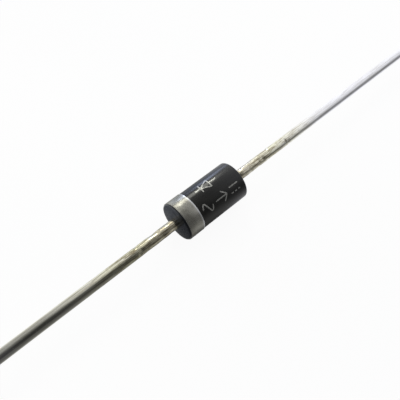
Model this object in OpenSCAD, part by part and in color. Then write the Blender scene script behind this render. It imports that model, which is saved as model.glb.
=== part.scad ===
// Axial-lead rectifier diode: a chip soldered between two nail-headed wires,
// its edge sealed with silicone, and a black epoxy case moulded round it all.
// The x axis runs along the leads and through the middle of the case. The
// cathode end, with the printed ring, points to -x. The origin is the middle
// of the case and of the chip. Every piece is turned about the x axis except
// the chip, which is a square plate. Lengths are in millimetres.

/* [Case] */
// Diameter of the moulded case
case_d = 2.7; // [2.2:0.05:3.2]
// Length of the case between its end faces
case_l = 5.0; // [4.4:0.1:6]
// Radius on the case's two rims
rim_r = 0.1; // [0.05:0.01:0.2]

/* [Cathode ring] */
// Width of the printed ring, along the case
ring_w = 1.1; // [0.6:0.05:1.5]
// Thickness of the ring's ink
ink_t = 0.03; // [0.02:0.005:0.05]

/* [Leads] */
// Diameter of the tinned wire, outside the case
wire_d = 0.72; // [0.5:0.01:0.86]
// Thickness of the tin, plated after moulding on what stands out of the case
tin_t = 0.01; // [0.005:0.001:0.02]
// Length of each lead outside the case
free_l = 27.5; // [25:0.5:30]
// Width of the bevel that the cutter leaves round each tip
tip_bevel = 0.05; // [0.02:0.01:0.1]
// Diameter of the nail head that is pressed on the wire's inner end
head_d = 1.4; // [1.3:0.05:1.6]
// Thickness of the nail head
head_t = 0.3; // [0.24:0.02:0.36]
// Radius on the nail head's rim
head_rim_r = 0.06; // [0.03:0.01:0.1]
// Diameter of the tapered neck where it meets the nail head
neck_d = 1.0; // [0.9:0.05:1.1]
// Length of the tapered neck behind the nail head
neck_l = 0.6; // [0.4:0.05:0.7]
// Number of vee grooves that lock the wire in the epoxy behind the end face
grip_count = 3; // [2:1:4]
// Length of the wire that the vee grooves take up
grip_l = 0.6; // [0.54:0.02:0.7]
// Depth of the vee grooves
grip_depth = 0.04; // [0.02:0.01:0.06]

/* [Chip] */
// Side of the square silicon chip
chip_w = 0.96; // [0.9:0.02:1.1]
// Thickness of the chip
chip_t = 0.24; // [0.2:0.02:0.3]
// Diameter of each solder disc
solder_d = 0.9; // [0.8:0.02:0.9]
// Thickness of each solder disc
solder_t = 0.06; // [0.04:0.01:0.1]

/* [Junction coating] */
// Diameter of the silicone bead at its crown, over the chip
coating_d = 1.8; // [1.74:0.02:1.9]
// How far the bead laps over each nail head's rim
coating_lap = 0.18; // [0.14:0.01:0.2]

/* [Hidden] */
$fn = 64;

case_r = case_d / 2;
wire_r = wire_d / 2;
core_r = wire_r - tin_t;
head_r = head_d / 2;

// Distances from the middle of the chip, the same towards either end
chip_face = chip_t / 2;
head_face = chip_face + solder_t;
head_back = head_face + head_t;
neck_end = head_back + neck_l;
case_end = case_l / 2;
grip_start = case_end - grip_l;
grip_pitch = grip_l / grip_count;
tip_end = case_end + free_l;

// The bead's outline is an arc that rises from the rims of the nail heads
coating_end = head_face + coating_lap;
coating_rise = coating_d / 2 - head_r;
coating_arc_r = (pow(coating_end, 2) + pow(coating_rise, 2)) / (2 * coating_rise);

// Stands a shape that was drawn along +z on the x axis, pointing to +x
module along_x() {
    rotate([0, 90, 0])
        children();
}

// Turns a shape that points to +x round to the cathode end
module at_cathode_end() {
    mirror([1, 0, 0])
        children();
}

// Half outline of a disc with rounded rims: radius across, thickness upwards
module rounded_disc_outline(r, t, edge_r) {
    square([r - edge_r, t]);
    translate([0, edge_r])
        square([r, t - 2 * edge_r]);
    for (y = [edge_r, t - edge_r])
        translate([r - edge_r, y])
            circle(r = edge_r);
}

// Half outline of one lead, drawn outwards from the middle of the chip: nail head,
// tapered neck, bare wire grooved up to the end face, tinned wire to the bevelled tip
module lead_outline() {
    translate([0, head_face])
        rounded_disc_outline(head_r, head_t, head_rim_r);
    polygon([
        [0, head_face + head_t / 2],
        [neck_d / 2, head_face + head_t / 2],
        [neck_d / 2, head_back],
        [core_r, neck_end],
        for (i = [0 : grip_count - 1]) each [
            [core_r, grip_start + i * grip_pitch],
            [core_r - grip_depth, grip_start + (i + 0.5) * grip_pitch]
        ],
        [core_r, case_end],
        [wire_r, case_end],
        [wire_r, tip_end - tip_bevel],
        [wire_r - tip_bevel, tip_end],
        [0, tip_end]
    ]);
}

module lead_form() {
    along_x()
        rotate_extrude()
            lead_outline();
}

// Half outline of the bead: straight to the nail heads' radius, arched beyond it
module coating_outline() {
    translate([0, -coating_end])
        square([head_r, 2 * coating_end]);
    intersection() {
        translate([coating_d / 2 - coating_arc_r, 0])
            circle(r = coating_arc_r);
        translate([0, -coating_end])
            square([coating_d / 2, 2 * coating_end]);
    }
}

// The bead with everything that it encloses
module coating_form() {
    along_x()
        rotate_extrude()
            coating_outline();
}

module case_form() {
    translate([-case_end, 0, 0])
        along_x()
            rotate_extrude()
                rounded_disc_outline(case_r, case_l, rim_r);
}

module chip_form() {
    cube([chip_t, chip_w, chip_w], center = true);
}

module solder_form() {
    translate([chip_face, 0, 0])
        along_x()
            cylinder(d = solder_d, h = solder_t);
}

// The epoxy is moulded round the leads and the bead and takes their shape
module epoxy_case() {
    color([0.06, 0.06, 0.07])
        difference() {
            case_form();
            coating_form();
            lead_form();
            at_cathode_end()
                lead_form();
        }
}

module cathode_ring() {
    color([0.62, 0.62, 0.58])
        translate([rim_r - case_end, 0, 0])
            along_x()
                linear_extrude(ring_w)
                    difference() {
                        circle(r = case_r + ink_t);
                        circle(r = case_r);
                    }
}

module cathode_lead() {
    color([0.8, 0.78, 0.7])
        at_cathode_end()
            lead_form();
}

module anode_lead() {
    color([0.8, 0.78, 0.7])
        lead_form();
}

module silicon_chip() {
    color([0.35, 0.37, 0.42])
        chip_form();
}

module cathode_solder() {
    color([0.66, 0.67, 0.68])
        at_cathode_end()
            solder_form();
}

module anode_solder() {
    color([0.66, 0.67, 0.68])
        solder_form();
}

// The bead fills what the chip, the solder and the nail heads leave of its form
module junction_coating() {
    color([0.9, 0.9, 0.87])
        difference() {
            coating_form();
            chip_form();
            solder_form();
            lead_form();
            at_cathode_end() {
                solder_form();
                lead_form();
            }
        }
}

epoxy_case();
cathode_ring();
cathode_lead();
anode_lead();
silicon_chip();
cathode_solder();
anode_solder();
junction_coating();
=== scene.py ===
"""Looks of an axial rectifier diode.

A black epoxy case is moulded round a silicon junction and two tinned copper
wires. A silver ring printed round one end marks the cathode. The leads lie
along x with the cathode towards -x, and every length is in metres.
"""

import logging
import math
import random
from dataclasses import dataclass, field
from enum import Enum
from typing import Dict, List, Optional, Sequence, Tuple, Union

import bmesh
import bpy
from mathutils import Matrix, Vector


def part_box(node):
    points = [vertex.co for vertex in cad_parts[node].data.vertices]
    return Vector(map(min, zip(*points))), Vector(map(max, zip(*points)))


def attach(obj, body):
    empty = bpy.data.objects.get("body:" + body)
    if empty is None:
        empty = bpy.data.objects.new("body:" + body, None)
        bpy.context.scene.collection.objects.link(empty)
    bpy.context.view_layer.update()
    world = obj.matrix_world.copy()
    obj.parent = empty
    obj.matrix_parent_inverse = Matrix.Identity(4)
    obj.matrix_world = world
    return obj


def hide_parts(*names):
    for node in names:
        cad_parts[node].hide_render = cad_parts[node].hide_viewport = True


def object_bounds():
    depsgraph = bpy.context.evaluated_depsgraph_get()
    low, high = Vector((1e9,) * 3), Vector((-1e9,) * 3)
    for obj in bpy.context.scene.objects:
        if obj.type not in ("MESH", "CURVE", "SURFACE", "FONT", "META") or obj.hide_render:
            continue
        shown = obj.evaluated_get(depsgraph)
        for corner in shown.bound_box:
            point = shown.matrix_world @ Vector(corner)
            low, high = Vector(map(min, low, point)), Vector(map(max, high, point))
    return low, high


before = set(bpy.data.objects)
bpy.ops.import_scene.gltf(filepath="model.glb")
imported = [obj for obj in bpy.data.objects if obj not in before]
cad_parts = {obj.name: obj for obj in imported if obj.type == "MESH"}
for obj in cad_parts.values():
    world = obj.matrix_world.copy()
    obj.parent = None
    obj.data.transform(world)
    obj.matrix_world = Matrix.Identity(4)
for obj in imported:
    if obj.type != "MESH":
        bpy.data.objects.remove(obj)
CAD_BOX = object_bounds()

log = logging.getLogger("diode")

MM = 0.001
BODY = "root"
WELD = 1e-7
ROUND_UP_TO = 32
RIM_CHORDS = 5

Point = Tuple[float, float]
Rgb = Tuple[float, float, float]
Stop = Tuple[float, Rgb]
Value = Union[float, Sequence[float], bpy.types.NodeSocket]


class Side(Enum):
    """The end of the diode that a lead stands out of, as its direction along x."""

    CATHODE = -1
    ANODE = 1


class Pass(Enum):
    """How a patch of colour is laid over another one."""

    MIX = "MIX"
    ADD = "ADD"


# ---------------------------------------------------------------------------
# Finishes
# ---------------------------------------------------------------------------


class NodeBench:
    """One node tree, with short calls that add nodes and wire them up."""

    def __init__(self, owner: Union[bpy.types.Material, bpy.types.World]) -> None:
        """Takes the owner's node tree and empties it.

        Args:
            owner: The material or the world that the nodes are for.
        """
        owner.use_nodes = True
        self.owner = owner
        self.tree = owner.node_tree
        self.tree.nodes.clear()

    @staticmethod
    def for_material(name: str) -> "NodeBench":
        """Makes a new material and the bench for its nodes.

        Args:
            name: The material's name.

        Returns:
            The bench of the new material.
        """
        return NodeBench(bpy.data.materials.new(name))

    def put(self, target: bpy.types.NodeSocket, value: Value) -> None:
        """Sets an input, or wires it where the value is another node's output.

        Args:
            target: The input.
            value: A number, a colour, a vector or an output.
        """
        if isinstance(value, bpy.types.NodeSocket):
            self.tree.links.new(value, target)
        elif target.type == "RGBA" and len(value) == 3:
            target.default_value = (*value, 1.0)
        else:
            target.default_value = value

    def add(self, kind: str, settings: Optional[Dict[str, object]] = None,
            **inputs: Value) -> bpy.types.Node:
        """Adds a node.

        Args:
            kind: The node's type name, without its "ShaderNode" start.
            settings: Properties of the node itself.
            **inputs: Values for its inputs, with _ for a space in a name.

        Returns:
            The node.
        """
        node = self.tree.nodes.new("ShaderNode" + kind)
        for name, value in (settings or {}).items():
            setattr(node, name, value)
        for name, value in inputs.items():
            self.put(node.inputs[name.replace("_", " ")], value)
        return node

    def place(self, scale: Sequence[float] = (1.0, 1.0, 1.0),
              shift: Sequence[float] = (0.0, 0.0, 0.0)) -> bpy.types.NodeSocket:
        """Gives the object's own coordinates, stretched and moved.

        Args:
            scale: Stretch along each axis.
            shift: Move along each axis, after the stretch.

        Returns:
            The vector output.
        """
        coords = self.add("TexCoord").outputs["Object"]
        mapped = self.add("Mapping", Vector=coords, Scale=scale, Location=shift)
        return mapped.outputs["Vector"]

    def noise(self, grain: Sequence[float], detail: float = 3.0, rough: float = 0.55,
              shift: Sequence[float] = (0.0, 0.0, 0.0)) -> bpy.types.NodeSocket:
        """Adds cloudy noise.

        Args:
            grain: Size of one cloud along x, y and z.
            detail: Number of finer layers.
            rough: Weight of the finer layers.
            shift: Move of the pattern, in clouds.

        Returns:
            The noise, from 0 to 1.
        """
        where = self.place([1.0 / size for size in grain], shift)
        cloud = self.add("TexNoise", Vector=where, Scale=1.0, Detail=detail, Roughness=rough)
        return cloud.outputs["Fac"]

    def span(self, source: Value, low: float, high: float, to_low: float = 0.0,
             to_high: float = 1.0) -> bpy.types.NodeSocket:
        """Maps a range of values smoothly on another and clamps the rest.

        Args:
            source: The values.
            low: Value that becomes to_low.
            high: Value that becomes to_high.
            to_low: Result at and below low.
            to_high: Result at and above high.

        Returns:
            The mapped values.
        """
        node = self.add("MapRange", {"interpolation_type": "SMOOTHSTEP"}, Value=source)
        for name, value in (("From Min", low), ("From Max", high), ("To Min", to_low),
                            ("To Max", to_high)):
            node.inputs[name].default_value = value
        return node.outputs["Result"]

    def along_axis(self, axis: str, scale: float = 1.0) -> bpy.types.NodeSocket:
        """Gives one of the object's own coordinates.

        Args:
            axis: "X", "Y" or "Z".
            scale: What the coordinate is multiplied by.

        Returns:
            The coordinate.
        """
        return self.add("SeparateXYZ", Vector=self.place([scale] * 3)).outputs[axis]

    def math(self, operation: str, first: Value, second: Value = 0.0) -> bpy.types.NodeSocket:
        """Combines two numbers.

        Args:
            operation: The Math node's operation.
            first: First number.
            second: Second number.

        Returns:
            The result.
        """
        node = self.add("Math", {"operation": operation})
        self.put(node.inputs[0], first)
        self.put(node.inputs[1], second)
        return node.outputs["Value"]

    def mix(self, factor: Value, under: Value, over: Value,
            way: Pass = Pass.MIX) -> bpy.types.NodeSocket:
        """Lays one colour over another.

        Args:
            factor: How much of the upper colour shows.
            under: Lower colour.
            over: Upper colour.
            way: How the upper colour is laid on.

        Returns:
            The mixed colour.
        """
        node = self.add("Mix", {"data_type": "RGBA", "blend_type": way.value})
        self.put(node.inputs["Factor"], factor)
        colours = [socket for socket in node.inputs if socket.type == "RGBA"]
        self.put(colours[0], under)
        self.put(colours[1], over)
        return next(socket for socket in node.outputs if socket.type == "RGBA")

    def ramp(self, source: bpy.types.NodeSocket, stops: Sequence[Stop]) -> bpy.types.NodeSocket:
        """Turns a number into a colour.

        Args:
            source: The number, from 0 to 1.
            stops: Positions and colours, in order.

        Returns:
            The colour.
        """
        node = self.add("ValToRGB", Fac=source)
        band = node.color_ramp
        while len(band.elements) < len(stops):
            band.elements.new(0.5)
        for element, (position, colour) in zip(band.elements, stops):
            element.position = position
            element.color = (*colour, 1.0)
        return node.outputs["Color"]

    def blend(self, first: Value, first_share: float, second: Value) -> bpy.types.NodeSocket:
        """Adds two numbers by their shares.

        Args:
            first: First number.
            first_share: Its share, from 0 to 1; the second number has the rest.
            second: Second number.

        Returns:
            The sum.
        """
        return self.math("ADD", self.math("MULTIPLY", first, first_share),
                         self.math("MULTIPLY", second, 1 - first_share))

    def bump(self, height: bpy.types.NodeSocket, depth: float,
             strength: float = 1.0) -> bpy.types.NodeSocket:
        """Turns a height into a relief.

        Args:
            height: Height, from 0 to 1.
            depth: Real depth of the relief.
            strength: How far it shows.

        Returns:
            The normal output.
        """
        return self.add("Bump", Height=height, Distance=depth, Strength=strength).outputs["Normal"]

    def finish(self, **inputs: Value) -> bpy.types.Material:
        """Adds the surface shader and joins it to the material's output.

        Args:
            **inputs: Values for the surface shader's inputs.

        Returns:
            The finished material.
        """
        surface = self.add("BsdfPrincipled", **inputs)
        output = self.add("OutputMaterial")
        self.tree.links.new(surface.outputs["BSDF"], output.inputs["Surface"])
        return self.owner


@dataclass(frozen=True)
class Fade:
    """How strongly an effect shows, between two distances from the diode's middle."""

    near: float
    far: float
    at_near: float
    at_far: float

    def over(self, bench: NodeBench, along: Value) -> bpy.types.NodeSocket:
        """Gives the effect's strength.

        Args:
            bench: The material's nodes.
            along: The distance from the middle.

        Returns:
            The strength.
        """
        return bench.span(along, self.near, self.far, self.at_near, self.at_far)


@dataclass(frozen=True)
class BlackEpoxy:
    """Moulding compound: near black, faintly grained, with flow streaks, and a painted sheen: the
    +y, +z side of the cathode's end face is painted lighter grey to stand in for reflected light.
    """

    base: Rgb = (0.0075, 0.0077, 0.0075)
    worn: Rgb = (0.017, 0.0165, 0.015)
    # painted reflection: the lighter grey laid on one side of the cathode's end face
    painted_sheen: Rgb = (0.24, 0.25, 0.245)
    gloss_low: float = 0.14
    gloss_high: float = 0.26
    end_face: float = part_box("epoxy_case")[0].x / MM
    painted_sheen_y: float = 0.897
    painted_sheen_z: float = 0.443
    relief: float = 0.002 * MM

    def _painted_sheen_mask(self, bench: NodeBench, cloud: bpy.types.NodeSocket) -> bpy.types.NodeSocket:
        """Places the painted sheen on the +y, +z side of the cathode's end face: a lighter patch
        that stands in for reflected light.

        Args:
            bench: The material's nodes.
            cloud: Noise that makes the patch's border uneven.

        Returns:
            How much painted sheen each point takes, from 0 to 1.
        """
        skin = bench.span(bench.along_axis("X", 1 / MM), self.end_face + 0.03,
                          self.end_face + 0.08, 1.0, 0.0)
        side = bench.math(
            "ADD", bench.math("MULTIPLY", bench.along_axis("Y", 1 / MM), self.painted_sheen_y),
            bench.math("MULTIPLY", bench.along_axis("Z", 1 / MM), self.painted_sheen_z))
        uneven = bench.math("MULTIPLY", bench.math("SUBTRACT", cloud, 0.5), 1.6)
        return bench.math("MULTIPLY", skin,
                          bench.span(bench.math("ADD", side, uneven), -0.3, 0.8, 0.0, 0.9))

    def material(self) -> bpy.types.Material:
        """Makes the case's material."""
        bench = NodeBench.for_material("black_epoxy")
        cloud = bench.noise((0.9 * MM, 0.5 * MM, 0.5 * MM))
        streak = bench.noise((1.6 * MM, 0.07 * MM, 0.07 * MM), 4.0, 0.6)
        speck = bench.noise((0.05 * MM,) * 3, 2.0)
        tone = bench.mix(bench.span(cloud, 0.35, 0.7), self.base, self.worn)
        tone = bench.mix(bench.span(speck, 0.6, 0.78, 0.0, 0.5), tone, self.worn)
        # painted reflection: lightens the +y, +z side of the cathode's end face
        tone = bench.mix(self._painted_sheen_mask(bench, cloud), tone, self.painted_sheen)
        gloss = bench.span(streak, 0.3, 0.7, self.gloss_low, self.gloss_high)
        return bench.finish(Base_Color=tone, Roughness=gloss, IOR=1.52,
                            Normal=bench.bump(bench.blend(speck, 0.6, streak), self.relief, 0.35))


@dataclass(frozen=True)
class SilverInk:
    """Printed silver ink: warm grey flakes, a little patchy, with a painted highlight along its +x
    edge.
    """

    flake: Rgb = (0.50, 0.49, 0.44)
    dull: Rgb = (0.34, 0.33, 0.29)
    tarnish: Rgb = (0.33, 0.27, 0.20)
    # painted highlight: pale grey laid along the ring's +x edge
    painted_edge_highlight: Rgb = (0.78, 0.79, 0.80)
    rim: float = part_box("cathode_ring")[1].x
    rim_w: float = 0.11 * MM
    rim_fade: float = 0.05 * MM
    relief: float = 0.001 * MM

    def material(self) -> bpy.types.Material:
        """Makes the ring's material."""
        bench = NodeBench.for_material("silver_ink")
        cloud = bench.noise((0.45 * MM,) * 3, 4.0, 0.6)
        patch = bench.noise((1.1 * MM,) * 3, 2.0, 0.5, (3.1, 0.4, 7.7))
        flakes = bench.noise((0.03 * MM,) * 3, 2.0)
        tone = bench.mix(bench.span(cloud, 0.35, 0.7), self.flake, self.dull)
        tone = bench.mix(bench.span(patch, 0.56, 0.74, 0.0, 0.6), tone, self.tarnish)
        # painted highlight: a pale band along the ring's +x edge
        start = self.rim - self.rim_w
        rim = bench.span(bench.along_axis("X"), start, start + self.rim_fade, 0.0, 0.8)
        tone = bench.mix(rim, tone, self.painted_edge_highlight)
        gloss = bench.span(cloud, 0.3, 0.7, 0.20, 0.30)
        return bench.finish(Base_Color=tone, Roughness=gloss, Metallic=0.8,
                            Normal=bench.bump(flakes, self.relief, 0.12))


@dataclass(frozen=True)
class TinnedCopper:
    """Bright tin plate on drawn wire: creamy, tarnished and scraped next to the case, with a
    painted glare that whitens the anode lead far from the case.
    """

    bright: Rgb = (0.93, 0.92, 0.88)
    olive: Rgb = (0.88, 0.86, 0.62)
    grey: Rgb = (0.62, 0.60, 0.52)
    beige: Rgb = (0.93, 0.86, 0.74)
    scraped: Rgb = (0.48, 0.45, 0.32)
    drag: Rgb = (0.24, 0.19, 0.11)
    # painted reflection: cool near-white laid on the anode lead's far stretch only
    painted_glare_tone: Rgb = (0.95, 0.95, 0.985)
    tarnish: Fade = Fade(4 * MM, 12 * MM, 1.0, 0.15)
    warmth: Fade = Fade(3.4 * MM, 6.4 * MM, 0.7, 0.0)
    painted_glare: Fade = Fade(7 * MM, 13 * MM, 0.0, 0.9)
    dragging: Fade = Fade(5 * MM, 12 * MM, 1.0, 0.25)
    gripping: Fade = Fade(5.5 * MM, 9.5 * MM, 1.0, 0.0)
    relief: float = 0.002 * MM

    def _tone(self, bench: NodeBench, drawn: bpy.types.NodeSocket) -> bpy.types.NodeSocket:
        """Colours the tin, from its clean tone to the marks of handling, with a painted glare on
        the anode lead's far stretch.

        Args:
            bench: The material's nodes.
            drawn: Noise drawn out along the wire.

        Returns:
            The colour.
        """
        scratch = bench.noise((1.1 * MM, 0.055 * MM, 0.055 * MM), 3.0, 0.6, (0.7, 2.9, 4.1))
        cloud = bench.noise((1.4 * MM, 0.5 * MM, 0.5 * MM), 3.0)
        across = bench.noise((0.30 * MM, 0.22 * MM, 0.22 * MM), 3.0, 0.6, (5.2, 1.7, 0.3))
        x = bench.along_axis("X")
        along = bench.math("ABSOLUTE", x)
        olive = bench.math("MULTIPLY", bench.span(cloud, 0.2, 0.6, 0.3, 1.0),
                           self.tarnish.over(bench, along))
        tone = bench.mix(olive, self.bright, self.olive)
        tone = bench.mix(self.warmth.over(bench, along), tone, self.beige)
        # painted reflection: whitens the anode lead from 7 mm out, not the cathode lead
        tone = bench.mix(self.painted_glare.over(bench, x), tone, self.painted_glare_tone)
        tone = bench.mix(bench.span(drawn, 0.5, 0.75, 0.0, 0.5), tone, self.grey)
        dragged = bench.math("MULTIPLY", self.dragging.over(bench, along),
                             bench.span(scratch, 0.47, 0.57, 0.0, 0.85))
        tone = bench.mix(dragged, tone, self.drag)
        gripped = bench.math("MULTIPLY", self.gripping.over(bench, along),
                             bench.span(across, 0.54, 0.66, 0.0, 0.75))
        return bench.mix(gripped, tone, self.scraped)

    def material(self) -> bpy.types.Material:
        """Makes the leads' material."""
        bench = NodeBench.for_material("tinned_copper")
        drawn = bench.noise((5.0 * MM, 0.10 * MM, 0.10 * MM), 4.0, 0.6)
        fleck = bench.noise((0.12 * MM, 0.08 * MM, 0.08 * MM), 2.0)
        gloss = bench.math("ADD", bench.span(drawn, 0.3, 0.7, 0.07, 0.16),
                           bench.span(fleck, 0.55, 0.75, 0.0, 0.10))
        return bench.finish(Base_Color=self._tone(bench, drawn), Roughness=gloss, Metallic=1.0,
                            Normal=bench.bump(bench.blend(drawn, 0.7, fleck), self.relief, 0.4))


@dataclass(frozen=True)
class MarkInk:
    """Thin pale grey ink, broken up where the epoxy's grain shows through."""

    pale: Rgb = (0.60, 0.60, 0.56)
    thin: Rgb = (0.22, 0.22, 0.20)
    relief: float = 0.002 * MM

    def material(self) -> bpy.types.Material:
        """Makes the mark's material."""
        bench = NodeBench.for_material("mark_ink")
        grain = bench.noise((0.06 * MM,) * 3, 3.0, 0.6)
        tone = bench.mix(bench.span(grain, 0.42, 0.66), self.pale, self.thin)
        return bench.finish(Base_Color=tone, Metallic=0.6,
                            Roughness=bench.span(grain, 0.3, 0.7, 0.28, 0.42),
                            Normal=bench.bump(grain, self.relief, 0.5))


@dataclass(frozen=True)
class Silicon:
    """Sawn and etched silicon: dark steel blue with faint saw lines."""

    face: Rgb = (0.16, 0.18, 0.22)
    sawn: Rgb = (0.09, 0.10, 0.13)
    relief: float = 0.001 * MM

    def material(self) -> bpy.types.Material:
        """Makes the chip's material."""
        bench = NodeBench.for_material("silicon")
        saw = bench.noise((0.4 * MM, 0.4 * MM, 0.012 * MM), 2.0)
        tone = bench.mix(bench.span(saw, 0.35, 0.65), self.face, self.sawn)
        return bench.finish(Base_Color=tone, Metallic=0.9,
                            Roughness=bench.span(saw, 0.3, 0.7, 0.12, 0.3),
                            Normal=bench.bump(saw, self.relief, 0.5))


@dataclass(frozen=True)
class LeadSolder:
    """Set solder: soft grey with a frosty skin."""

    skin: Rgb = (0.56, 0.56, 0.57)
    frost: Rgb = (0.72, 0.72, 0.71)
    relief: float = 0.004 * MM

    def material(self) -> bpy.types.Material:
        """Makes the solder discs' material."""
        bench = NodeBench.for_material("lead_solder")
        frost = bench.noise((0.07 * MM,) * 3, 3.0)
        tone = bench.mix(bench.span(frost, 0.4, 0.65), self.skin, self.frost)
        return bench.finish(Base_Color=tone, Metallic=1.0,
                            Roughness=bench.span(frost, 0.3, 0.7, 0.28, 0.5),
                            Normal=bench.bump(frost, self.relief, 0.6))


@dataclass(frozen=True)
class JunctionSilicone:
    """Cured silicone rubber: milky white, faintly wavy."""

    milk: Rgb = (0.80, 0.80, 0.76)
    shade: Rgb = (0.68, 0.67, 0.62)
    relief: float = 0.01 * MM

    def material(self) -> bpy.types.Material:
        """Makes the bead's material."""
        bench = NodeBench.for_material("junction_silicone")
        wave = bench.noise((0.5 * MM,) * 3, 2.0)
        tone = bench.mix(bench.span(wave, 0.3, 0.7), self.milk, self.shade)
        return bench.finish(Base_Color=tone, Subsurface_Weight=0.3, Subsurface_Scale=0.2 * MM,
                            Roughness=bench.span(wave, 0.3, 0.7, 0.35, 0.5),
                            Normal=bench.bump(wave, self.relief, 0.4))


@dataclass(frozen=True)
class PaleTable:
    """Matt white table top, lit evenly, that keeps only a breath of shadow."""

    tone: Rgb = (0.92, 0.92, 0.92)
    cloudy: Rgb = (0.905, 0.905, 0.905)
    body: Rgb = (0.10, 0.10, 0.10)
    glow: float = 0.95
    cloud_size: float = 60 * MM

    def material(self) -> bpy.types.Material:
        """Makes the floor's material."""
        bench = NodeBench.for_material("pale_table")
        cloud = bench.noise((self.cloud_size,) * 3, 2.0)
        tone = bench.mix(bench.span(cloud, 0.2, 0.8), self.tone, self.cloudy)
        return bench.finish(Base_Color=self.body, Roughness=1.0,
                            Specular_IOR_Level=0.0, Emission_Color=tone,
                            Emission_Strength=self.glow / self.tone[0])


# ---------------------------------------------------------------------------
# Mesh helpers
# ---------------------------------------------------------------------------


def arc(centre: Point, radius: float, start: float, end: float, steps: int) -> List[Point]:
    """Gives points along a circular arc.

    Args:
        centre: Its centre.
        radius: Its radius.
        start: Angle of the first point, in degrees.
        end: Angle of the last point, in degrees.
        steps: Number of chords.

    Returns:
        The points, both ends among them.
    """
    turns = [math.radians(start + (end - start) * i / steps) for i in range(steps + 1)]
    return [(centre[0] + radius * math.cos(a), centre[1] + radius * math.sin(a)) for a in turns]


def turned(outline: Sequence[Point], steps: int, ring: bool = False) -> bmesh.types.BMesh:
    """Spins an outline round the x axis.

    Args:
        outline: Points as (along x, radius).
        steps: Number of facets round the form.
        ring: Whether the outline closes on itself, as a washer's does.

    Returns:
        The closed form, its faces outwards.
    """
    form = bmesh.new()
    corners = [form.verts.new((x, 0.0, r)) for x, r in outline]
    sides = [form.edges.new(pair) for pair in zip(corners, corners[1:])]
    if ring:
        sides.append(form.edges.new((corners[-1], corners[0])))
    bmesh.ops.spin(form, geom=corners + sides, cent=(0, 0, 0), axis=(1, 0, 0), dvec=(0, 0, 0),
                   angle=2 * math.pi, steps=steps, use_merge=True, use_duplicate=False)
    bmesh.ops.remove_doubles(form, verts=form.verts[:], dist=WELD)
    bmesh.ops.recalc_face_normals(form, faces=form.faces[:])
    return form


def crease(form: bmesh.types.BMesh, degrees: float = ROUND_UP_TO) -> None:
    """Shades a form smooth, and keeps hard the edges that bend further than an angle.

    Args:
        form: The form.
        degrees: The widest bend that still looks round.
    """
    limit = math.radians(degrees)
    for face in form.faces:
        face.smooth = True
    for edge in form.edges:
        edge.smooth = len(edge.link_faces) == 2 and edge.calc_face_angle() < limit


def as_piece(form: bmesh.types.BMesh, name: str, finish: bpy.types.Material,
             nodes: Sequence[str] = ()) -> bpy.types.Object:
    """Makes a form one of the diode's pieces.

    Args:
        form: The form, which this call uses up.
        name: The piece's name.
        finish: Its material.
        nodes: The CAD nodes that it stands for.

    Returns:
        The new object.
    """
    mesh = bpy.data.meshes.new(name)
    form.to_mesh(mesh)
    form.free()
    mesh.materials.append(finish)
    piece = bpy.data.objects.new(name, mesh)
    bpy.context.scene.collection.objects.link(piece)
    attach(piece, BODY)
    if nodes:
        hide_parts(*nodes)
    log.info("%s: %d faces", name, len(mesh.polygons))
    return piece


# ---------------------------------------------------------------------------
# The diode's pieces
# ---------------------------------------------------------------------------


@dataclass
class LeadShape:
    """Sizes that the two leads share, from the chip outwards."""

    reach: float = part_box("anode_lead")[1].x
    case_end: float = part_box("epoxy_case")[1].x
    head_face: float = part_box("anode_lead")[0].x
    head_r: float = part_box("anode_lead")[1].y
    head_t: float = 0.3 * MM
    head_rim_r: float = 0.06 * MM
    neck_r: float = 0.5 * MM
    neck_l: float = 0.6 * MM
    wire_r: float = 0.36 * MM
    tin_t: float = 0.01 * MM
    grip_count: int = 3
    grip_l: float = 0.6 * MM
    grip_depth: float = 0.04 * MM
    tip_bevel: float = 0.05 * MM

    def head(self) -> List[Point]:
        """Outline of the nail head and the neck's wide end, from the axis outwards."""
        back = self.head_face + self.head_t
        inner = self.head_r - self.head_rim_r
        return [
            (self.head_face, 0.0),
            *arc((self.head_face + self.head_rim_r, inner), self.head_rim_r, 180, 90, RIM_CHORDS),
            *arc((back - self.head_rim_r, inner), self.head_rim_r, 90, 0, RIM_CHORDS),
            (back, self.neck_r),
        ]

    def shank(self) -> List[Point]:
        """Outline of the bare wire from the neck to the case's end face."""
        core_r = self.wire_r - self.tin_t
        start = self.case_end - self.grip_l
        pitch = self.grip_l / self.grip_count
        points = [(self.head_face + self.head_t + self.neck_l, core_r)]
        for i in range(self.grip_count):
            points.append((start + i * pitch, core_r))
            points.append((start + (i + 0.5) * pitch, core_r - self.grip_depth))
        return [*points, (self.case_end, core_r)]

    def tail(self, fine: float, coarse: float, fine_until: float) -> List[Point]:
        """Outline of the tinned wire from the end face to the cut tip.

        Args:
            fine: Spacing of the rings next to the case.
            coarse: Spacing of the rings further out.
            fine_until: Distance from the case at which the spacing changes.

        Returns:
            The points.
        """
        points: List[Point] = []
        along = self.case_end
        shoulder = self.reach - self.tip_bevel
        while along < shoulder - coarse:
            points.append((along, self.wire_r))
            along += fine if along - self.case_end < fine_until else coarse
        return [*points, (shoulder, self.wire_r),
                (self.reach, self.wire_r - self.tip_bevel), (self.reach, 0.0)]


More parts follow.
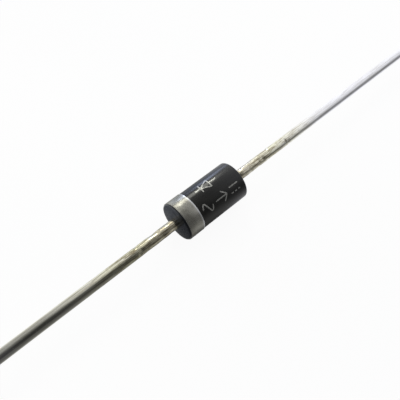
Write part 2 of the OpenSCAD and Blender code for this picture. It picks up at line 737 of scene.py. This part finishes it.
@dataclass
class MouldedCase:
    """The epoxy case, moulded round the leads and the junction's bead."""

    lead: LeadShape
    half_l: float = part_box("epoxy_case")[1].x
    radius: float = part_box("epoxy_case")[1].z
    rim_r: float = 0.1 * MM
    bead_end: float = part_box("junction_coating")[1].x
    bead_r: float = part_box("junction_coating")[1].z
    facets: int = 180
    rim_chords: int = 8
    bead_chords: int = 16
    finish: BlackEpoxy = field(default_factory=BlackEpoxy)

    def _skin(self) -> List[Point]:
        """Outline of the outside, from the anode's hole to the cathode's."""
        flat = self.radius - self.rim_r
        corner = self.half_l - self.rim_r
        return [
            *arc((corner, flat), self.rim_r, 0, 90, self.rim_chords),
            *arc((-corner, flat), self.rim_r, 90, 180, self.rim_chords),
        ]

    def _bead(self) -> List[Point]:
        """Outline of the bead's arched crown, from cathode to anode."""
        rise = self.bead_r - self.lead.head_r
        bow = (self.bead_end ** 2 + rise ** 2) / (2 * rise)
        swing = math.degrees(math.asin(self.bead_end / bow))
        return arc((0.0, self.bead_r - bow), bow, 90 + swing, 90 - swing, self.bead_chords)

    def _cavity_half(self) -> List[Point]:
        """Outline of the anode half of the cavity, from the bead outwards."""
        around_head = [p for p in self.lead.head() if p[0] > self.bead_end]
        return [*around_head, *self.lead.shank()]

    def build(self) -> bpy.types.Object:
        """Builds the case.

        Returns:
            The case.
        """
        half = self._cavity_half()
        cavity = [(-x, r) for x, r in reversed(half)] + self._bead() + half
        form = turned([*self._skin(), *cavity], self.facets, ring=True)
        crease(form)
        return as_piece(form, "moulded_case", self.finish.material(),
                        ["epoxy_case"])


@dataclass
class CathodeRing:
    """The ring of silver ink that marks the cathode end."""

    case_r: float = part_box("epoxy_case")[1].z
    start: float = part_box("cathode_ring")[0].x
    end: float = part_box("cathode_ring")[1].x
    radius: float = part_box("cathode_ring")[1].z
    edge_r: float = 0.02 * MM
    facets: int = 180
    round_up_to: float = 40
    finish: SilverInk = field(default_factory=SilverInk)

    def build(self) -> bpy.types.Object:
        """Builds the ring.

        Returns:
            The ring.
        """
        crown = self.radius - self.edge_r
        outline = [
            (self.start, self.case_r),
            *arc((self.start + self.edge_r, crown), self.edge_r, 180, 90, RIM_CHORDS),
            *arc((self.end - self.edge_r, crown), self.edge_r, 90, 0, RIM_CHORDS),
            (self.end, self.case_r),
        ]
        form = turned(outline, self.facets, ring=True)
        crease(form, self.round_up_to)
        return as_piece(form, "silver_ring", self.finish.material(),
                        ["cathode_ring"])


@dataclass(frozen=True)
class Nick:
    """One shallow mark across a lead, left by handling."""

    along: float
    turn: float
    depth: float
    length: float
    spread: float
    cut_off: float = 2.5

    def at(self, along: float, turn: float) -> float:
        """Gives the nick's depth at a point of the wire.

        Args:
            along: Distance of the point from the case.
            turn: Angle of the point round the wire, in radians.

        Returns:
            The depth there.
        """
        off = (along - self.along) / self.length
        if abs(off) > self.cut_off:
            return 0.0
        side = math.remainder(turn - self.turn, 2 * math.pi) / self.spread
        return self.depth * math.exp(-off * off - side * side)


@dataclass
class TinnedLead:
    """One lead: nail head, neck and grooves in the epoxy, tinned wire outside."""

    shape: LeadShape
    side: Side
    finish: bpy.types.Material
    seed: int
    facets: int = 72
    nick_count: int = 34
    spared_l: float = 0.1 * MM
    nick_start: float = 0.4 * MM
    nick_reach: float = 6.5 * MM
    nick_tail: float = 1.2 * MM
    nick_depth: float = 0.022 * MM
    crowding: float = 1.4
    fine: float = 0.05 * MM
    coarse: float = 0.2 * MM

    @property
    def nicked_l(self) -> float:
        """Length of the stretch next to the case that the nicks reach."""
        return self.nick_reach + self.nick_tail

    def _nicks(self) -> List[Nick]:
        """Draws the lead's nicks, the same ones at every run."""
        dice = random.Random(self.seed)
        return [
            Nick(along=self.nick_start + dice.random() ** self.crowding * self.nick_reach,
                 turn=dice.uniform(-math.pi, math.pi),
                 depth=self.nick_depth * dice.uniform(0.4, 1.0),
                 length=dice.uniform(0.06, 0.28) * MM,
                 spread=dice.uniform(0.3, 0.8))
            for _ in range(self.nick_count)
        ]

    def _press_nicks(self, form: bmesh.types.BMesh) -> None:
        """Presses the nicks into the wire next to the case.

        Args:
            form: The lead's form, still pointing towards +x.
        """
        nicks = self._nicks()
        near = [v for v in form.verts
                if self.spared_l < v.co.x - self.shape.case_end < self.nicked_l]
        for vertex in near:
            turn = math.atan2(vertex.co.y, vertex.co.z)
            along = vertex.co.x - self.shape.case_end
            depth = min(sum(nick.at(along, turn) for nick in nicks), 2 * self.nick_depth)
            shrink = 1 - depth / self.shape.wire_r
            vertex.co.y *= shrink
            vertex.co.z *= shrink

    def build(self) -> bpy.types.Object:
        """Builds the lead.

        Returns:
            The lead.
        """
        shape = self.shape
        outline = [*shape.head(), *shape.shank(),
                   *shape.tail(self.fine, self.coarse, self.nicked_l)]
        form = turned(outline, self.facets)
        self._press_nicks(form)
        if self.side is Side.CATHODE:
            bmesh.ops.scale(form, vec=(-1, 1, 1), verts=form.verts[:])
            bmesh.ops.recalc_face_normals(form, faces=form.faces[:])
        crease(form)
        name = self.side.name.lower()
        return as_piece(form, f"tinned_{name}_wire", self.finish,
                        [f"{name}_lead"])


@dataclass(frozen=True)
class Stroke:
    """One stroke of the mark, on the case's side laid flat: x, then round the case."""

    path: Tuple[Point, ...]

    @staticmethod
    def in_mm(line: Sequence[Point]) -> "Stroke":
        """Makes a stroke from points in millimetres.

        Args:
            line: The points.

        Returns:
            The stroke.
        """
        return Stroke(tuple((x * MM, y * MM) for x, y in line))

    def samples(self, count: int) -> List[Tuple[Vector, Vector, float]]:
        """Gives points at even steps along the stroke.

        Args:
            count: Number of points.

        Returns:
            Each point, the direction across the stroke there, and the distance run.
        """
        corners = [Vector(p) for p in self.path]
        runs = [0.0]
        for a, b in zip(corners, corners[1:]):
            runs.append(runs[-1] + (b - a).length)
        result = []
        for i in range(count):
            run = runs[-1] * i / (count - 1)
            k = max(j for j in range(len(runs) - 1) if runs[j] <= run or j == 0)
            share = (run - runs[k]) / (runs[k + 1] - runs[k])
            along = (corners[k + 1] - corners[k]).normalized()
            result.append((corners[k].lerp(corners[k + 1], share),
                           Vector((-along.y, along.x)), run))
        return result


@dataclass
class PrintedMark:
    """Plain signs on the case: the diode's symbol, then wave, arrow and level."""

    case_r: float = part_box("epoxy_case")[1].z
    width: float = 0.085 * MM
    spots: int = 25
    narrowest: float = 0.06
    ink_t: float = 0.008 * MM
    sunk: float = 0.002 * MM
    upper_turn: float = 9.7
    lower_turn: float = -45.3
    finish: MarkInk = field(default_factory=MarkInk)

    def _symbol(self) -> List[Stroke]:
        """Strokes of the diode's symbol, its bar towards the cathode."""
        left, bar, base, right, high = -0.75, -0.25, 0.45, 1.05, 0.34
        lines = [
            [(left, 0), (bar, 0)],
            [(bar, -high), (bar, high)],
            [(bar, 0), (base, high)],
            [(bar, 0), (base, -high)],
            [(base, -high), (base, high)],
            [(base, 0), (right, 0)],
        ]
        return [Stroke.in_mm(line) for line in lines]

    def _signs(self) -> List[Stroke]:
        """Strokes of the wave, the arrow and the level sign, towards the anode."""
        start, length, high, chords = -1.05, 0.8, 0.34, 16
        wave = [(start + length * i / chords, high * math.sin(2 * math.pi * i / chords))
                for i in range(chords + 1)]
        lines = [
            wave,
            [(0.0, 0), (0.95, 0)],
            [(0.95, 0), (0.6, 0.38)],
            [(0.95, 0), (0.6, -0.38)],
            [(1.25, 0.22), (2.0, 0.22)],
            [(1.25, -0.22), (1.43, -0.22)],
            [(1.535, -0.22), (1.715, -0.22)],
            [(1.82, -0.22), (2.0, -0.22)],
        ]
        return [Stroke.in_mm(line) for line in lines]

    def _strip(self, form: bmesh.types.BMesh, stroke: Stroke) -> List[bmesh.types.BMVert]:
        """Makes one stroke of ink as a round-ended strip, still laid flat.

        Args:
            form: The form that takes the stroke.
            stroke: The stroke.

        Returns:
            The strip's vertices.
        """
        spots = stroke.samples(self.spots)
        length = spots[-1][2]
        strip = bmesh.ops.create_grid(form, x_segments=self.spots - 1, y_segments=2,
                                      size=0.5)["verts"]
        half = self.width / 2
        for vertex in strip:
            centre, across, run = spots[round((vertex.co.x + 0.5) * (self.spots - 1))]
            near_end = max(0.0, 1 - min(run, length - run) / half)
            side = vertex.co.y * self.width * math.sqrt(max(self.narrowest, 1 - near_end ** 2))
            vertex.co = (centre.x + across.x * side, centre.y + across.y * side, self.ink_t)
        return strip

    def _lay(self, form: bmesh.types.BMesh, stroke: Stroke, turn: float) -> None:
        """Gives one stroke its thickness and bends it round the case.

        Args:
            form: The form that takes the stroke.
            stroke: The stroke.
            turn: Angle of the row round the case, in degrees from +z towards +y.
        """
        strip = self._strip(form, stroke)
        skin = list({face for vertex in strip for face in vertex.link_faces})
        walls = bmesh.ops.solidify(form, geom=skin, thickness=self.ink_t + self.sunk)["geom"]
        solid = set(strip) | {g for g in walls if isinstance(g, bmesh.types.BMVert)}
        for vertex in solid:
            angle = math.radians(turn) + vertex.co.y / self.case_r
            radius = self.case_r + vertex.co.z
            vertex.co = (vertex.co.x, radius * math.sin(angle), radius * math.cos(angle))

    def build(self) -> bpy.types.Object:
        """Builds the mark.

        Returns:
            The mark.
        """
        form = bmesh.new()
        for strokes, turn in ((self._symbol(), self.upper_turn), (self._signs(), self.lower_turn)):
            for stroke in strokes:
                self._lay(form, stroke, turn)
        bmesh.ops.recalc_face_normals(form, faces=form.faces[:])
        return as_piece(form, "printed_mark", self.finish.material())


@dataclass
class Junction:
    """The chip, its two solder discs and the bead, as the frame gives them."""

    chip: Silicon = field(default_factory=Silicon)
    solder: LeadSolder = field(default_factory=LeadSolder)
    bead: JunctionSilicone = field(default_factory=JunctionSilicone)

    def dress(self) -> None:
        """Gives each inner piece its finish."""
        solder = self.solder.material()
        finishes = {
            "silicon_chip": self.chip.material(),
            "cathode_solder": solder,
            "anode_solder": solder,
            "junction_coating": self.bead.material(),
        }
        for name, finish in finishes.items():
            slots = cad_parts[name].data.materials
            slots.clear()
            slots.append(finish)
            log.info("%s: dressed", name)


# ---------------------------------------------------------------------------
# Studio and camera
# ---------------------------------------------------------------------------


@dataclass(frozen=True)
class SoftBox:
    """A soft-edged window of light in the dome."""

    turn: float
    spread: float
    start: float
    end: float
    light: Rgb
    feather: float = 0.04

    def share(self, bench: NodeBench, turn: Value, along: Value) -> bpy.types.NodeSocket:
        """Tells how much of the window a direction meets.

        Args:
            bench: The world's nodes.
            turn: The direction's angle round the leads, in degrees from +z towards +y.
            along: The direction's reach along the leads.

        Returns:
            The share, from 0 to 1.
        """
        off = bench.math("ABSOLUTE", bench.math("SUBTRACT", turn, self.turn))
        across = bench.span(off, 0.5 * self.spread, self.spread, 1.0, 0.0)
        first = bench.span(along, self.start - self.feather, self.start + self.feather)
        last = bench.span(along, self.end - self.feather, self.end + self.feather, 1.0, 0.0)
        return bench.math("MULTIPLY", across, bench.math("MULTIPLY", first, last))


@dataclass(frozen=True)
class DomeBand:
    """Light of the dome in the directions that reach equally far along the leads.

    A tone is a turn round the leads, in degrees from +z towards +y, and the light there.
    """

    reach: float
    tones: Tuple[Tuple[float, float], ...]
    tint: Rgb = (1.0, 1.0, 0.96)

    def light(self, bench: NodeBench, share: bpy.types.NodeSocket) -> bpy.types.NodeSocket:
        """Gives the band's light.

        Args:
            bench: The world's nodes.
            share: The direction's turn round the leads, from 0 to 1, at 0.5 straight up.

        Returns:
            The light.
        """
        stops = [(degrees / 360 + 0.5, tuple(tone * c for c in self.tint))
                 for degrees, tone in self.tones]
        return bench.ramp(share, stops)


@dataclass
class Studio:
    """White table and a soft dome of light round the diode."""

    table_half: float = 4.0
    backdrop: Rgb = (0.985, 0.985, 0.985)
    table: PaleTable = field(default_factory=PaleTable)
    bands: Tuple[DomeBand, ...] = (
        DomeBand(-0.30, ((-179, 0.10), (-120, 0.15), (-60, 0.12), (0, 0.14), (60, 0.24),
                         (110, 0.42), (138, 0.30), (150, 0.11), (179, 0.10)),
                 tint=(0.92, 0.98, 1.15)),
        DomeBand(0.0, ((-179, 0.50), (-142, 0.18), (-112, 0.11), (-87, 0.085), (-66, 0.036),
                       (-46, 0.024), (-26, 0.036), (-7, 0.11), (13, 0.25), (35, 0.36),
                       (59, 0.40), (90, 0.62), (120, 0.95), (145, 1.00), (179, 0.50))),
        DomeBand(0.14, ((-179, 0.30), (-151, 0.22), (-116, 0.16), (-90, 0.08), (-67, 0.06),
                        (-47, 0.08), (-22, 0.12), (-6, 0.40), (10, 0.82), (40, 0.90),
                        (58, 0.50), (72, 0.62), (97, 1.05), (130, 0.70), (179, 0.30))),
        DomeBand(0.37, ((-179, 0.12), (-160, 0.10), (-144, 0.30), (-125, 0.42), (-110, 0.38),
                        (-83, 0.17), (-71, 0.14), (-48, 0.21), (-26, 0.28), (-4, 0.28),
                        (12, 0.32), (30, 0.55), (57, 0.50), (73, 0.62), (92, 0.58),
                        (120, 0.45), (179, 0.12))),
        DomeBand(0.56, ((-179, 1.05), (-150, 0.95), (-128, 0.55), (-108, 0.26), (-90, 0.20),
                        (-72, 0.30), (-48, 0.62), (-24, 0.80), (2, 0.88), (26, 1.00),
                        (60, 1.05), (90, 1.10), (130, 1.05), (179, 1.05)),
                 tint=(0.98, 0.99, 1.03)),
    )
    boxes: Tuple[SoftBox, ...] = (
        SoftBox(turn=47, spread=13, start=0.27, end=0.44, light=(4.6, 4.6, 4.2)),
        SoftBox(turn=76, spread=11, start=0.385, end=0.47, light=(3.0, 3.4, 4.6)),
        SoftBox(turn=92, spread=28, start=0.27, end=0.47, light=(0.0, 0.06, 0.20)),
    )

    def floor(self) -> bpy.types.Object:
        """Lays the table under the diode.

        Returns:
            The table.
        """
        form = bmesh.new()
        bmesh.ops.create_grid(form, x_segments=1, y_segments=1, size=self.table_half)
        bmesh.ops.translate(form, verts=form.verts[:], vec=(0, 0, CAD_BOX[0].z))
        mesh = bpy.data.meshes.new("table")
        form.to_mesh(mesh)
        form.free()
        mesh.materials.append(self.table.material())
        floor = bpy.data.objects.new("table", mesh)
        bpy.context.scene.collection.objects.link(floor)
        floor.visible_glossy = False
        floor.visible_diffuse = False
        return floor

    def _glow(self, bench: NodeBench) -> bpy.types.NodeSocket:
        """Works out the dome's light in each direction, from its bands and its soft boxes.

        Args:
            bench: The world's nodes.

        Returns:
            The light.
        """
        way = bench.add("SeparateXYZ", Vector=bench.add("TexCoord").outputs["Generated"])
        along = way.outputs["X"]
        turn = bench.math("MULTIPLY", bench.math("ARCTAN2", way.outputs["Y"], way.outputs["Z"]),
                          180 / math.pi)
        share = bench.math("ADD", bench.math("DIVIDE", turn, 360), 0.5)
        light = self.bands[0].light(bench, share)
        for last, band in zip(self.bands, self.bands[1:]):
            light = bench.mix(bench.span(along, last.reach, band.reach), light,
                              band.light(bench, share))
        for box in self.boxes:
            light = bench.mix(box.share(bench, turn, along), light, box.light, Pass.ADD)
        return light

    def dome(self) -> None:
        """Fills the world with soft light and shows a plain backdrop in its place."""
        world = bpy.data.worlds.new("studio_dome")
        bpy.context.scene.world = world
        bench = NodeBench(world)
        light = bench.add("Background", Color=self._glow(bench), Strength=1.0)
        plain = bench.add("Background", Color=self.backdrop, Strength=1.0)
        both = bench.add("MixShader", Fac=bench.add("LightPath").outputs["Is Camera Ray"])
        bench.tree.links.new(light.outputs["Background"], both.inputs[1])
        bench.tree.links.new(plain.outputs["Background"], both.inputs[2])
        output = bench.add("OutputWorld")
        bench.tree.links.new(both.outputs["Shader"], output.inputs["Surface"])

    def build(self) -> None:
        """Builds the studio."""
        self.floor()
        self.dome()
        bpy.context.scene.view_settings.view_transform = "Standard"


@dataclass
class Viewpoint:
    """The camera, above and to the left of the cathode end, aimed near the middle."""

    azimuth: float = -42.2
    elevation: float = 56.2
    lens: float = 45.0
    sensor_width: float = 36.0
    clip_start: float = 1 * MM
    clip_end: float = 20.0
    distance: float = 32.5 * MM
    shift_right: float = -0.36 * MM
    shift_up: float = 0.04 * MM

    def build(self) -> bpy.types.Object:
        """Sets up the camera.

        Returns:
            The camera.
        """
        turn, rise = math.radians(self.azimuth), math.radians(self.elevation)
        back = Vector((math.sin(turn) * math.cos(rise), -math.cos(turn) * math.cos(rise),
                       math.sin(rise)))
        right = Vector((math.cos(turn), math.sin(turn), 0.0))
        up = back.cross(right)
        data = bpy.data.cameras.new("viewpoint")
        data.lens = self.lens
        data.sensor_width = self.sensor_width
        data.clip_start = self.clip_start
        data.clip_end = self.clip_end
        camera = bpy.data.objects.new("viewpoint", data)
        bpy.context.scene.collection.objects.link(camera)
        camera.location = back * self.distance + right * self.shift_right + up * self.shift_up
        camera.rotation_euler = back.to_track_quat("Z", "Y").to_euler()
        bpy.context.scene.camera = camera
        return camera


def main() -> None:
    """Builds the diode's looks, the studio and the camera."""
    logging.basicConfig(level=logging.INFO, format="%(name)s: %(message)s")
    shape = LeadShape()
    tin = TinnedCopper().material()
    MouldedCase(shape).build()
    CathodeRing().build()
    TinnedLead(shape, Side.CATHODE, tin, seed=4).build()
    TinnedLead(shape, Side.ANODE, tin, seed=9).build()
    PrintedMark().build()
    Junction().dress()
    Studio().build()
    Viewpoint().build()


if __name__ == "__main__":
    main()
